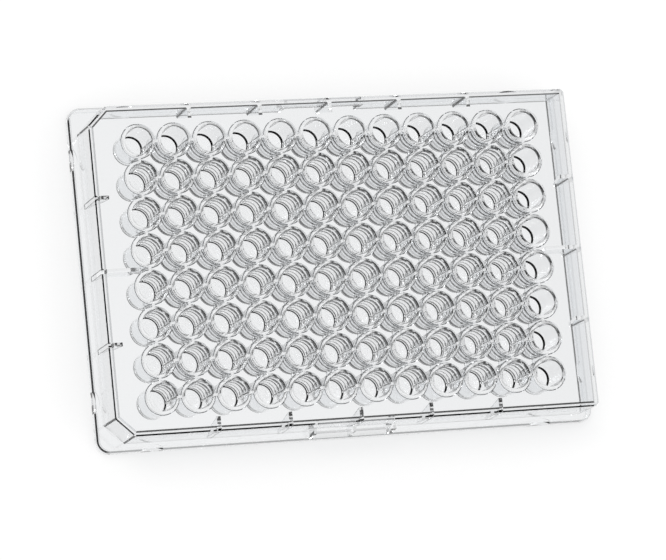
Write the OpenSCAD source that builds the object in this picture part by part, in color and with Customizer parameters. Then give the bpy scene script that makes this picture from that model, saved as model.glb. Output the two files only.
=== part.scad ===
// Clear 96-well plate: one injection moulding. Eight rows of twelve flat-bottomed wells hang from a deck,
// inside a thin drafted side wall with two cut corners, above a stepped-out flange that the plate stands on.
// Ties join the wells, and shallow ridges round them hold the moulding on its core while the mould opens.
// Millimetres. X runs along the rows with column 1 at -X, Y across them with row A at +Y, and Z up.
// The origin is the middle of the footprint, on the plane that the plate stands on.

/* [Footprint and height] */
// Length of the flange, along the rows
foot_l = 127.76; // [124:0.02:160]
// Width of the flange, across the rows
foot_w = 85.48; // [82:0.02:110]
// Height from the standing plane to the well rims
plate_h = 14.35; // [13.4:0.05:24]
// Radius of the flange's corners, seen from above
flange_corner_r = 3.18; // [2:0.02:4]

/* [Wells] */
// Number of rows, from A
rows = 8; // [2:1:8]
// Number of columns, from 1
columns = 12; // [2:1:12]
// Distance between the middles of neighbouring wells
pitch = 9; // [8.92:0.01:9.1]
// Inner diameter of a well at its rim
well_d = 6.86; // [5.6:0.02:6.9]
// Depth of a well, from its rim to its floor
well_depth = 10.9; // [8:0.1:11.2]
// Inner diameter that a well loses between its rim and its floor
well_taper = 0.46; // [0.1:0.02:0.8]
// Thickness of a well's floor
floor_t = 1.2; // [0.6:0.1:1.6]
// Wall of a well at its rim
rim_t = 0.72; // [0.5:0.02:0.74]
// Outer diameter that a well loses between the deck and its underside
tube_taper = 0.6; // [0.2:0.02:0.8]
// Height of the rim round each well above the deck
rim_h = 0.2; // [0.1:0.05:0.6]
// Leg of the bevel where a well joins the underside of the deck
root_bevel = 0.2; // [0.1:0.02:0.3]
// Width of the steep bevel between a well's wall and its floor, inside
heel_t = 0.26; // [0.1:0.02:0.4]
// Height of that bevel
heel_h = 0.85; // [0.3:0.05:1.2]

/* [Between the wells] */
// Thickness of the tie that joins two neighbouring wells
tie_t = 0.7; // [0.4:0.05:1]
// Height of a tie's lower edge above the wells' undersides
tie_rise = 0.3; // [0.2:0.1:3]
// Number of ridges, one above another, on a well's outside
ridge_count = 4; // [2:1:4]
// Height of the lowest ridge's crest above the well's underside
ridge_low = 1.35; // [1.3:0.05:1.8]
// Depth of the highest ridge's crest below the deck's underside
ridge_high = 2.1; // [2:0.05:2.5]
// Height of a ridge's upper face
ridge_up = 1.1; // [0.7:0.05:1.15]
// Height of a ridge's lower face
ridge_down = 0.5; // [0.4:0.05:0.6]
// How far a ridge's crest stands out from the well's outside
ridge_out = 0.13; // [0.08:0.01:0.16]
// Angle between a tie and a ridge's end, seen from the well's axis
ridge_gap_angle = 8; // [7:1:20]

/* [Deck and side wall] */
// Thickness of the deck
deck_t = 1.25; // [0.9:0.05:1.8]
// Thickness of the side wall
side_t = 0.95; // [0.8:0.05:1.5]
// How far the side wall stands back from the flange, at the deck
side_step = 2.3; // [1.9:0.02:2.8]
// How far the side wall leans out between the deck and the flange
side_draft = 0.3; // [0.1:0.05:0.5]
// Bevel along the deck's outer edge
deck_bevel = 0.55; // [0.2:0.05:0.7]
// Bevel between the deck's underside and the walls of the short sides
inner_bevel_x = 0.35; // [0.15:0.05:0.5]
// The same along the long sides, unlike the other so that no four faces meet in one point
inner_bevel_y = 0.4; // [0.17:0.05:0.52]
// Leg of the cut at the two corners beside column 1
corner_cut = 4.5; // [3:0.1:6]
// Bevel along the top of the two cuts, unlike the deck's so that no four faces meet in one point
cut_bevel = 0.6; // [0.26:0.05:0.76]
// Radius of the two corners beside column 12, at the deck
deck_corner_r = 1.2; // [0.8:0.1:1.6]

/* [Flange] */
// Height of the flange
flange_h = 2.5; // [2.2:0.1:4]
// Thickness of the flange's upright
flange_t = 0.9; // [0.7:0.05:1.2]
// Thickness of the ledge between the side wall and the flange
ledge_t = 1.2; // [0.8:0.05:1.4]
// Bevel along the flange's top outer edge
flange_bevel = 0.55; // [0.2:0.05:0.7]
// Length of each ejector pad inside the flange
pad_l = 5.3; // [3:0.1:8]
// How far an ejector pad stands in from the flange's upright
pad_depth = 0.8; // [0.4:0.1:1]
// Distance along a long side from its end to the middle of an ejector pad
pad_end_x = 13.8; // [10:0.1:15]
// Distance along a short side from its end to the middle of an ejector pad
pad_end_y = 12.7; // [10:0.1:15]

/* [Grip blocks] */
// Length of the hollow grip block in the middle of each long side
grip_l = 21.2; // [12:0.2:30]
// Height of a grip block
grip_h = 7; // [5:0.1:8]
// How far a grip block's face leans in over its height
grip_lean = 0.9; // [0.2:0.1:1]
// Wall of a grip block
grip_t = 1; // [0.7:0.05:1.2]

/* [Ribs] */
// Thickness of a rib
rib_t = 0.95; // [0.6:0.05:1.2]
// Length of a rib under the deck, from the side wall inwards
rib_l = 2.65; // [1.5:0.05:2.7]
// Length of a rib at its lower end
rib_low_l = 0.5; // [0.3:0.05:1.5]
// Width that a rib gains on each side where it meets the side wall
rib_flare = 0.15; // [0.1:0.05:0.3]
// Distance from the end of a middle web to the line through the middles of the end wells
web_gap = 2.8; // [2.2:0.1:3.5]
// Depth of a middle web under the deck
web_depth = 6; // [2:0.1:8]
// How far the inner end of a middle web slopes back over its depth
web_slope = 1.2; // [0.2:0.1:1.5]

/* [Hidden] */

$fn = 96;
CUT = 1; // how far a cutting shape runs past a face that it opens
SINK = 0.4; // how far a shape runs into one that it is fused with

deck_z = plate_h - rim_h;
deck_under_z = deck_z - deck_t;
ledge_under_z = flange_h - ledge_t;
well_floor_z = plate_h - well_depth;
well_under_z = well_floor_z - floor_t;

// Half sizes of the flange, and of the side wall's outside at the deck
flange_x = foot_l / 2;
flange_y = foot_w / 2;
side_x = flange_x - side_step;
side_y = flange_y - side_step;
// How far the side wall leans out for each millimetre down from the deck
lean = side_draft / (deck_z - flange_h);

// The bevel inside the two cuts, in the same proportion as outside
inner_cut_bevel = inner_bevel_x * cut_bevel / deck_bevel;

rim_r = well_d / 2 + rim_t;
tube_low_r = rim_r - tube_taper / 2;
root_r = rim_r + root_bevel;
// How far a well's wall moves out for each millimetre up
well_slope = well_taper / 2 / well_depth;
end_well_x = well_x(columns - 1);

// Radius of a well's outside at a height, between its underside and the deck's
function tube_r(z) =
    tube_low_r + (rim_r - tube_low_r) * (z - well_under_z) / (deck_under_z - root_bevel - well_under_z);

function well_x(c) = (c - (columns - 1) / 2) * pitch;
function well_y(r) = ((rows - 1) / 2 - r) * pitch;

// Outline of a block in X and Z: half is its half width at the deck, and bevel the leg at its top edges
function block_profile(half, z0, z1, bevel) =
    let (low = half + lean * (deck_z - z0), high = half + lean * (deck_z - z1))
    [
        [-low, z0],
        [low, z0],
        [high + lean * bevel, z1 - bevel],
        [high - bevel, z1],
        [bevel - high, z1],
        [-high - lean * bevel, z1 - bevel]
    ];

// An outline drawn in X and Z, run along Y on both sides of the middle
module run_y(outline, length) {
    translate([0, length / 2, 0])
        rotate([90, 0, 0])
            linear_extrude(height = length)
                polygon(outline);
}

// Everything on the inner side of one cut corner's leaning face, bevelled below z1; turn sets which corner
module cut_side(turn, inset, z1, bevel) {
    run = foot_l + foot_w;
    low_z = -2 * CUT;
    high_z = plate_h + CUT;
    // Distances of the cut face from the middle, at the deck and at z1
    half = (side_x + side_y - corner_cut) / sqrt(2) - inset;
    high = half + lean * (deck_z - z1);
    rotate([0, 0, turn])
        run_y([
            [-half - lean * (deck_z - low_z), low_z],
            [run, low_z],
            [run, high_z],
            [-high + bevel + (1 + lean) * (high_z - z1), high_z],
            [-high - lean * bevel, z1 - bevel]
        ], run);
}

// The solid inside the side wall's outline, moved in by inset: it leans, and has the two cut corners at -X
module leaning_block(inset, z0, z1, bevel_x, bevel_y, bevel_cut) {
    run = foot_l + foot_w;
    intersection() {
        run_y(block_profile(side_x - inset, z0, z1, bevel_x), run);
        rotate([0, 0, 90])
            run_y(block_profile(side_y - inset, z0, z1, bevel_y), run);
        cut_side(45, inset, z1, bevel_cut);
        cut_side(-45, inset, z1, bevel_cut);
    }
}

// One rounded corner beside column 12, as a turned shape whose bevel follows the deck's edge
module turned_corner() {
    rotate_extrude()
        polygon([
            [0, flange_h],
            [deck_corner_r + side_draft, flange_h],
            [deck_corner_r + lean * deck_bevel, deck_z - deck_bevel],
            [deck_corner_r - deck_bevel, deck_z],
            [0, deck_z]
        ]);
}

// Outside of the deck and its side wall, above the flange
module housing() {
    corner_x = side_x - deck_corner_r;
    corner_y = side_y - deck_corner_r;
    difference() {
        leaning_block(0, flange_h, deck_z, deck_bevel, deck_bevel, cut_bevel);
        for (s = [-1, 1])
            translate([corner_x, s > 0 ? corner_y : -corner_y - side_step, 0])
                cube([side_step, side_step, plate_h]);
    }
    for (s = [-1, 1])
        translate([corner_x, s * corner_y, 0])
            turned_corner();
}

module rounded_slab(half_x, half_y, r, z0, z1) {
    translate([0, 0, z0])
        linear_extrude(height = z1 - z0) {
            square([2 * half_x, 2 * (half_y - r)], center = true);
            square([2 * (half_x - r), 2 * half_y], center = true);
            for (x = [-1, 1], y = [-1, 1])
                translate([x * (half_x - r), y * (half_y - r)])
                    circle(r = r);
        }
}

// Outline of the flange in X and Z, with its bevel
function flange_profile(half) =
    [
        [-half, 0],
        [half, 0],
        [half, flange_h - flange_bevel],
        [half - flange_bevel, flange_h],
        [flange_bevel - half, flange_h],
        [-half, flange_h - flange_bevel]
    ];

// Outside of the flange, a full slab with rounded corners
module flange_slab() {
    corner_x = flange_x - flange_corner_r;
    corner_y = flange_y - flange_corner_r;
    run = foot_l + foot_w;
    difference() {
        intersection() {
            run_y(flange_profile(flange_x), run);
            rotate([0, 0, 90])
                run_y(flange_profile(flange_y), run);
        }
        for (x = [-1, 1], y = [-1, 1])
            translate([x > 0 ? corner_x : -corner_x - run, y > 0 ? corner_y : -corner_y - run, -CUT])
                cube([run, run, plate_h]);
    }
    for (x = [-1, 1], y = [-1, 1])
        translate([x * corner_x, y * corner_y, 0])
            rotate_extrude()
                polygon([
                    [0, 0],
                    [flange_corner_r, 0],
                    [flange_corner_r, flange_h - flange_bevel],
                    [flange_corner_r - flange_bevel, flange_h],
                    [0, flange_h]
                ]);
}

// Hollow block on the middle of a long side, at +Y; inset gives its inside
module grip_block(inset, z0, z1) {
    half = grip_l / 2 - inset;
    face_y = flange_y - inset;
    slope = grip_lean / grip_h;
    rotate([90, 0, 90])
        translate([0, 0, -half])
            linear_extrude(height = 2 * half)
                polygon([
                    [side_y - side_t - SINK, z0],
                    [face_y - slope * z0, z0],
                    [face_y - slope * z1, z1],
                    [side_y - side_t - SINK, z1]
                ]);
}

// Thickened stretch of the flange's upright, as a segment of a circle; runs along X on the side at +Y
module ejector_pad(flange_half) {
    inner_y = flange_half - flange_t;
    r = (pad_l * pad_l / 4 + pad_depth * pad_depth) / (2 * pad_depth);
    intersection() {
        translate([0, inner_y - pad_depth + r, 0])
            cylinder(h = flange_h - SINK, r = r);
        translate([-pad_l, inner_y - pad_depth - CUT, 0])
            cube([2 * pad_l, pad_depth + CUT + flange_t / 2, flange_h]);
    }
}

module ejector_pads() {
    for (side = [0, 180])
        rotate([0, 0, side]) {
            for (s = [-1, 1])
                translate([s * (flange_x - pad_end_x), 0, 0])
                    ejector_pad(flange_y);
            rotate([0, 0, 90])
                for (s = [-1, 1])
                    translate([s * (flange_y - pad_end_y), 0, 0])
                        ejector_pad(flange_x);
        }
}

// Rib in the corner under the deck, shorter downwards and flared where it meets the wall, whose inner face
// is at wall_y at the deck
module rib(wall_y) {
    half = rib_t / 2;
    wide = half + rib_flare;
    from_y = wall_y - rib_l - CUT;
    z0 = flange_h;
    z1 = deck_z - deck_t / 2;
    slope = (rib_l - rib_low_l) / (deck_under_z - z0);
    intersection() {
        translate([0, 0, z0])
            linear_extrude(height = z1 - z0)
                polygon([
                    [-half, from_y],
                    [half, from_y],
                    [half, wall_y - 2 * rib_flare],
                    [wide, wall_y],
                    [wide, wall_y + side_t / 2],
                    [-wide, wall_y + side_t / 2],
                    [-wide, wall_y],
                    [-half, wall_y - 2 * rib_flare]
                ]);
        rotate([90, 0, 90])
            translate([0, 0, -rib_t])
                linear_extrude(height = 2 * rib_t)
                    polygon([
                        [wall_y - rib_low_l + slope * CUT, z0 - CUT],
                        [wall_y + side_t, z0 - CUT],
                        [wall_y + side_t, z1 + CUT],
                        [wall_y - rib_l - slope * (z1 + CUT - deck_under_z), z1 + CUT]
                    ]);
    }
}

// Ribs between every second pair of rows and of columns
module ribs() {
    inner_x = side_x - side_t;
    inner_y = side_y - side_t;
    for (side = [0, 180])
        rotate([0, 0, side]) {
            for (c = [2:2:columns - 2])
                translate([well_x(c) - pitch / 2, 0, 0])
                    rib(inner_y);
            rotate([0, 0, 90])
                for (r = [2:2:rows - 2])
                    translate([well_y(r) + pitch / 2, 0, 0])
                        rib(inner_x);
        }
}

// Long shallow webs from the middle of each short side to the end wells, with a sloping end
module middle_webs() {
    from_x = end_well_x + web_gap;
    to_x = side_x - side_t / 2;
    z0 = deck_under_z - web_depth;
    z1 = deck_under_z + SINK;
    slope = web_slope / web_depth;
    for (s = [0, 180])
        rotate([0, 0, s])
            run_y([
                [from_x + web_slope, z0],
                [to_x, z0],
                [to_x, z1],
                [from_x - slope * SINK, z1]
            ], rib_t);
}

// Outside of one well: tapered tube, bevelled root under the deck, and raised rim
module well_outside() {
    rotate_extrude()
        polygon([
            [0, well_under_z],
            [tube_low_r, well_under_z],
            [rim_r, deck_under_z - root_bevel],
            [root_r, deck_under_z],
            [root_r, deck_under_z + SINK],
            [rim_r, deck_under_z + SINK],
            [rim_r, plate_h],
            [0, plate_h]
        ]);
}

// Inside of one well, open at the top, with a bevel round its floor
module well_inside() {
    floor_r = (well_d - well_taper) / 2;
    rotate_extrude()
        polygon([
            [0, well_floor_z],
            [floor_r - heel_t, well_floor_z],
            [floor_r + well_slope * heel_h, well_floor_z + heel_h],
            [well_d / 2 + well_slope * CUT, plate_h + CUT],
            [0, plate_h + CUT]
        ]);
}

// Ties between neighbouring wells, along the rows and across them
module ties() {
    z0 = well_under_z + tie_rise;
    height = deck_under_z + SINK - z0;
    length = pitch - 2 * (tube_low_r - SINK);
    for (r = [0:rows - 1], c = [0:columns - 2])
        translate([well_x(c) + pitch / 2 - length / 2, well_y(r) - tie_t / 2, z0])
            cube([length, tie_t, height]);
    for (r = [0:rows - 2], c = [0:columns - 1])
        translate([well_x(c) - tie_t / 2, well_y(r) - pitch / 2 - length / 2, z0])
            cube([tie_t, length, height]);
}

// Ridges on the quarter of a well's outside that faces the hollow at its upper right
module quarter_ridges() {
    z0 = well_under_z + ridge_low;
    z1 = deck_under_z - ridge_high;
    for (i = [0:ridge_count - 1]) {
        z = z0 + i * (z1 - z0) / (ridge_count - 1);
        rotate([0, 0, ridge_gap_angle])
            rotate_extrude(angle = 90 - 2 * ridge_gap_angle)
                // Both faces run on into the well's wall as far as they stand out of it
                polygon([
                    [tube_r(z) - ridge_out, z - 2 * ridge_down],
                    [tube_r(z) + ridge_out, z],
                    [tube_r(z) - ridge_out, z + 2 * ridge_up]
                ]);
    }
}

// Each hollow between four wells has ridges on all four
module ridges() {
    for (r = [0:rows - 2], c = [0:columns - 2], turn = [0:90:270])
        translate([well_x(c) + pitch / 2, well_y(r) - pitch / 2, 0])
            rotate([0, 0, turn])
                translate([-pitch / 2, -pitch / 2, 0])
                    quarter_ridges();
}

module at_each_well() {
    for (r = [0:rows - 1], c = [0:columns - 1])
        translate([well_x(c), well_y(r), 0])
            children();
}

// Room under the deck, inside the side wall, the flange and the grip blocks
module underside() {
    leaning_block(side_t, -CUT, deck_under_z, inner_bevel_x, inner_bevel_y, inner_cut_bevel);
    rounded_slab(flange_x - flange_t, flange_y - flange_t, flange_corner_r - flange_t, -CUT, ledge_under_z);
    for (side = [0, 180])
        rotate([0, 0, side])
            grip_block(grip_t, -CUT, grip_h - grip_t);
}

module shell() {
    difference() {
        union() {
            housing();
            flange_slab();
            for (side = [0, 180])
                rotate([0, 0, side])
                    grip_block(0, 0, grip_h);
        }
        underside();
    }
}

// Web across the hollow of each grip block
module grip_webs() {
    for (side = [0, 180])
        rotate([0, 0, side])
            intersection() {
                grip_block(grip_t / 2, ledge_under_z, grip_h - grip_t / 2);
                translate([-rib_t / 2, 0, 0])
                    cube([rib_t, foot_w, grip_h]);
            }
}

module plate() {
    color("whitesmoke", 0.35)
        difference() {
            union() {
                shell();
                ejector_pads();
                ribs();
                middle_webs();
                grip_webs();
                ties();
                ridges();
                at_each_well()
                    well_outside();
            }
            at_each_well()
                well_inside();
        }
}

plate();
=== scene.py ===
from math import cos, pi, radians, sin

import bpy
from mathutils import Matrix, Vector

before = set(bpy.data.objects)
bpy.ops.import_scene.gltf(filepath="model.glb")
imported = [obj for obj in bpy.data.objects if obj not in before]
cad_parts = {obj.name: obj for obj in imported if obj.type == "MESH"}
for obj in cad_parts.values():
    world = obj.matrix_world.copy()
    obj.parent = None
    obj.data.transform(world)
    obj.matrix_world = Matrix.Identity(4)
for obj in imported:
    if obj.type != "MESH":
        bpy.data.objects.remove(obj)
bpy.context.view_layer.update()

MM = 0.001

# Camera: where it looks, from where, and how far the picture is turned about the line of sight
TARGET = Vector((0.32, -2.91, 0.0)) * MM
DISTANCE = 0.9
AZIMUTH = -61.73
ELEVATION = 70.66
ROLL = 57.23
LENS_MM = 195.6
SENSOR_MM = 36.0
CLIP_NEAR = 0.01
CLIP_FAR = 50.0

# Clear polystyrene. The shadow tint is what lamp light keeps at each surface that it passes.
PLASTIC_IOR = 1.59
PLASTIC_TINT = (0.965, 0.975, 0.985, 1.0)
SHADOW_TINT = (0.93, 0.935, 0.94, 1.0)
# Moulding marks: faint waves in the surface, and a fine grain that moves the roughness between two values
WAVE_SCALE = 260.0
WAVE_DETAIL = 2.0
WAVE_STRENGTH = 0.05
WAVE_HEIGHT = 0.00006
GRAIN_SCALE = 5200.0
GRAIN_DETAIL = 3.0
ROUGH_LOW = 0.01
ROUGH_HIGH = 0.05

# Floor: its size, how far it lies under the plate, its colour with the depth and size of its grain,
# and the glow that only the camera sees
FLOOR_SIDE = 6.0
FLOOR_DROP = 0.0002
FLOOR_COLOUR = 0.8
FLOOR_GRAIN = 0.03
FLOOR_GRAIN_SCALE = 900.0
FLOOR_WHITE = 0.47

# The studio that the plastic shows: bright about the axis, which points down near the camera's line of sight,
# nearly black around the sides, and bright above. Each pair is an angle in degrees from the axis and the
# brightness there. It is fitted to the photo's viewpoint, so the plate is dark from behind.
STUDIO_AXIS = (0.35, 0.26, -0.9)
STUDIO = ((0, 0.9), (20, 0.88), (50, 0.6), (61, 0.04), (120, 0.04), (140, 1.08), (180, 1.08))
# The world's even light on the floor
WORLD_LIGHT = 0.3

# Two soft lamps
KEY_PLACE = (-0.6, 0.9, 1.6)
KEY_SIZE = 0.9
KEY_WATTS = 14.0
FILL_PLACE = (1.2, -0.6, 1.4)
FILL_SIZE = 0.9
FILL_WATTS = 7.0

MAX_BOUNCES = 24
MAX_TRANSPARENT_BOUNCES = 32


def add_camera():
    """Puts the camera on its line of sight and turns it about that line."""
    azimuth, elevation = radians(AZIMUTH), radians(ELEVATION)
    back = Vector((sin(azimuth) * cos(elevation), -cos(azimuth) * cos(elevation), sin(elevation)))
    data = bpy.data.cameras.new("camera")
    data.lens = LENS_MM
    data.sensor_width = SENSOR_MM
    data.clip_start = CLIP_NEAR
    data.clip_end = CLIP_FAR
    camera = bpy.data.objects.new("camera", data)
    turn = back.to_track_quat("Z", "Y").to_matrix().to_4x4()
    camera.matrix_world = (
        Matrix.Translation(TARGET + DISTANCE * back) @ turn @ Matrix.Rotation(radians(ROLL), 4, "Z")
    )
    bpy.context.scene.collection.objects.link(camera)
    bpy.context.scene.camera = camera


def empty_nodes(owner):
    """Clears the nodes of a material or world, and returns the functions that add and link nodes."""
    owner.use_nodes = True
    tree = owner.node_tree
    tree.nodes.clear()

    def add(kind, **settings):
        node = tree.nodes.new(kind)
        for key, value in settings.items():
            setattr(node, key, value)
        return node

    return add, tree.links.new


def clear_plastic():
    """Clear moulded polystyrene with faint waves and a fine grain; lamp light passes through it."""
    material = bpy.data.materials.new("clear_polystyrene")
    add, link = empty_nodes(material)
    output = add("ShaderNodeOutputMaterial")
    plastic = add("ShaderNodeBsdfPrincipled")
    plastic.inputs["Base Color"].default_value = PLASTIC_TINT
    plastic.inputs["IOR"].default_value = PLASTIC_IOR
    plastic.inputs["Transmission Weight"].default_value = 1.0

    place = add("ShaderNodeTexCoord")
    waves = add("ShaderNodeTexNoise")
    waves.inputs["Scale"].default_value = WAVE_SCALE
    waves.inputs["Detail"].default_value = WAVE_DETAIL
    link(place.outputs["Object"], waves.inputs["Vector"])
    bump = add("ShaderNodeBump")
    bump.inputs["Strength"].default_value = WAVE_STRENGTH
    bump.inputs["Distance"].default_value = WAVE_HEIGHT
    link(waves.outputs["Fac"], bump.inputs["Height"])
    link(bump.outputs["Normal"], plastic.inputs["Normal"])

    grain = add("ShaderNodeTexNoise")
    grain.inputs["Scale"].default_value = GRAIN_SCALE
    grain.inputs["Detail"].default_value = GRAIN_DETAIL
    link(place.outputs["Object"], grain.inputs["Vector"])
    rough = add("ShaderNodeMapRange")
    rough.inputs["To Min"].default_value = ROUGH_LOW
    rough.inputs["To Max"].default_value = ROUGH_HIGH
    link(grain.outputs["Fac"], rough.inputs["Value"])
    link(rough.outputs["Result"], plastic.inputs["Roughness"])

    through = add("ShaderNodeBsdfTransparent")
    through.inputs["Color"].default_value = SHADOW_TINT
    path = add("ShaderNodeLightPath")
    mix = add("ShaderNodeMixShader")
    link(path.outputs["Is Shadow Ray"], mix.inputs["Fac"])
    link(plastic.outputs["BSDF"], mix.inputs[1])
    link(through.outputs["BSDF"], mix.inputs[2])
    link(mix.outputs["Shader"], output.inputs["Surface"])
    return material


def seen_in_plastic(add, link):
    """1 for what is seen in or through the plastic, and 0 for the rest; also returns the Light Path node."""
    path = add("ShaderNodeLightPath")
    either = add("ShaderNodeMath", operation="MAXIMUM")
    link(path.outputs["Is Glossy Ray"], either.inputs[0])
    link(path.outputs["Is Transmission Ray"], either.inputs[1])
    return either.outputs[0], path


def floor_material():
    """A floor that is white to the camera and keeps the shadow; in the plastic the studio is seen instead."""
    material = bpy.data.materials.new("floor")
    add, link = empty_nodes(material)
    output = add("ShaderNodeOutputMaterial")
    place = add("ShaderNodeTexCoord")
    grain = add("ShaderNodeTexNoise")
    grain.inputs["Scale"].default_value = FLOOR_GRAIN_SCALE
    link(place.outputs["Object"], grain.inputs["Vector"])
    shade = add("ShaderNodeMapRange")
    shade.inputs["To Min"].default_value = FLOOR_COLOUR - FLOOR_GRAIN
    shade.inputs["To Max"].default_value = FLOOR_COLOUR
    link(grain.outputs["Fac"], shade.inputs["Value"])
    diffuse = add("ShaderNodeBsdfDiffuse")
    link(shade.outputs["Result"], diffuse.inputs["Color"])

    in_plastic, path = seen_in_plastic(add, link)
    glow = add("ShaderNodeEmission")
    scale = add("ShaderNodeMath", operation="MULTIPLY")
    scale.inputs[1].default_value = FLOOR_WHITE
    link(path.outputs["Is Camera Ray"], scale.inputs[0])
    link(scale.outputs[0], glow.inputs["Strength"])
    both = add("ShaderNodeAddShader")
    link(diffuse.outputs[0], both.inputs[0])
    link(glow.outputs[0], both.inputs[1])

    clear = add("ShaderNodeBsdfTransparent")
    mix = add("ShaderNodeMixShader")
    link(in_plastic, mix.inputs[0])
    link(both.outputs[0], mix.inputs[1])
    link(clear.outputs[0], mix.inputs[2])
    link(mix.outputs[0], output.inputs["Surface"])
    return material


def add_floor():
    """Lays a square floor just under the plate."""
    half = FLOOR_SIDE / 2
    mesh = bpy.data.meshes.new("floor")
    corners = [(-half, -half), (half, -half), (half, half), (-half, half)]
    mesh.from_pydata([(x, y, -FLOOR_DROP) for x, y in corners], [], [(0, 1, 2, 3)])
    floor = bpy.data.objects.new("floor", mesh)
    floor.data.materials.append(floor_material())
    bpy.context.scene.collection.objects.link(floor)


def add_lamp(name, place, size, power):
    """A round soft lamp that points at the plate."""
    data = bpy.data.lights.new(name, "AREA")
    data.shape = "DISK"
    data.size = size
    data.energy = power
    lamp = bpy.data.objects.new(name, data)
    lamp.location = place
    lamp.rotation_euler = Vector(place).to_track_quat("Z", "Y").to_euler()
    bpy.context.scene.collection.objects.link(lamp)


def add_world():
    """An even pale room for the light, and the studio for what the plastic shows."""
    world = bpy.data.worlds.new("world")
    bpy.context.scene.world = world
    add, link = empty_nodes(world)
    output = add("ShaderNodeOutputWorld")
    light = add("ShaderNodeBackground")
    light.inputs["Strength"].default_value = WORLD_LIGHT
    light.inputs["Color"].default_value = (1.0, 1.0, 1.0, 1.0)

    # Angle from the studio's axis, as a share of half a turn
    place = add("ShaderNodeTexCoord")
    along = add("ShaderNodeVectorMath", operation="DOT_PRODUCT")
    along.inputs[1].default_value = STUDIO_AXIS
    link(place.outputs["Generated"], along.inputs[0])
    angle = add("ShaderNodeMath", operation="ARCCOSINE")
    link(along.outputs["Value"], angle.inputs[0])
    share = add("ShaderNodeMath", operation="DIVIDE")
    share.inputs[1].default_value = pi
    link(angle.outputs[0], share.inputs[0])
    ramp = add("ShaderNodeValToRGB")
    while len(ramp.color_ramp.elements) < len(STUDIO):
        ramp.color_ramp.elements.new(0.5)
    for element, (degrees_off, value) in zip(ramp.color_ramp.elements, STUDIO):
        element.position = degrees_off / 180
        element.color = (value, value, value, 1.0)
    link(share.outputs[0], ramp.inputs[0])
    studio = add("ShaderNodeBackground")
    link(ramp.outputs["Color"], studio.inputs["Color"])

    in_plastic, _ = seen_in_plastic(add, link)
    mix = add("ShaderNodeMixShader")
    link(in_plastic, mix.inputs[0])
    link(light.outputs[0], mix.inputs[1])
    link(studio.outputs[0], mix.inputs[2])
    link(mix.outputs[0], output.inputs["Surface"])


def dress(node, material):
    """Gives a CAD node its only material."""
    node.data.materials.clear()
    node.data.materials.append(material)


add_camera()
dress(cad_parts["plate"], clear_plastic())
add_floor()
add_lamp("key", KEY_PLACE, KEY_SIZE, KEY_WATTS)
add_lamp("fill", FILL_PLACE, FILL_SIZE, FILL_WATTS)
add_world()

scene = bpy.context.scene
scene.view_settings.view_transform = "Standard"
scene.cycles.max_bounces = MAX_BOUNCES
scene.cycles.transmission_bounces = MAX_BOUNCES
scene.cycles.transparent_max_bounces = MAX_TRANSPARENT_BOUNCES
scene.cycles.caustics_refractive = False
scene.cycles.caustics_reflective = False
